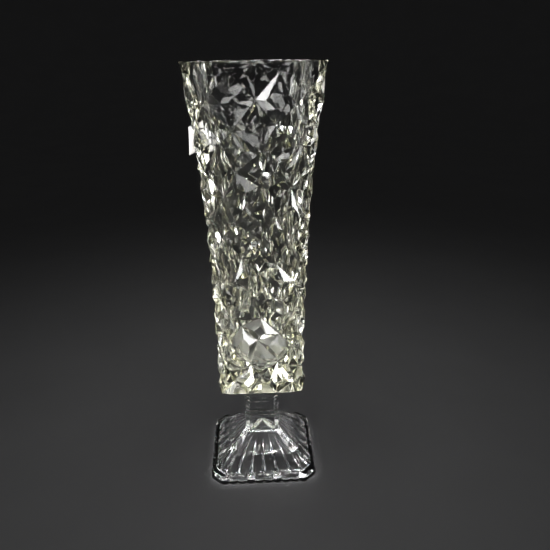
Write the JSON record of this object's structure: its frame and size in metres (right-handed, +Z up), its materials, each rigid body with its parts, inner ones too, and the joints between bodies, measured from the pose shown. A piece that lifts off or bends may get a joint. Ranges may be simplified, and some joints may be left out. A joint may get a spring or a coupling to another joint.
{
  "type": "cut crystal vase",
  "caption": "Tall square flaring vase in diamond-cut crystal, cemented to a separately pressed square glass foot with ribbed edges and a fluted hollow underneath.",
  "frame": {"origin": "middle of the foot's underside, on the surface the vase stands on", "axes": "+Z up through the mouth, -Y towards the front face, +X to the viewer's right"},
  "size_m": [0.1022, 0.1022, 0.3585],
  "materials": {
    "body_crystal": "polished crystal with a faint straw tint",
    "foot_glass": "fire-polished clear pressed glass",
    "clear_cement": "clear cured cement",
    "label_paper": "matte white paper"
  },
  "bodies": {
    "root": {"vase_body": "body_crystal", "pedestal_foot": "foot_glass", "cement_film": "clear_cement", "paper_label": "label_paper"}
  },
  "joints": []
}
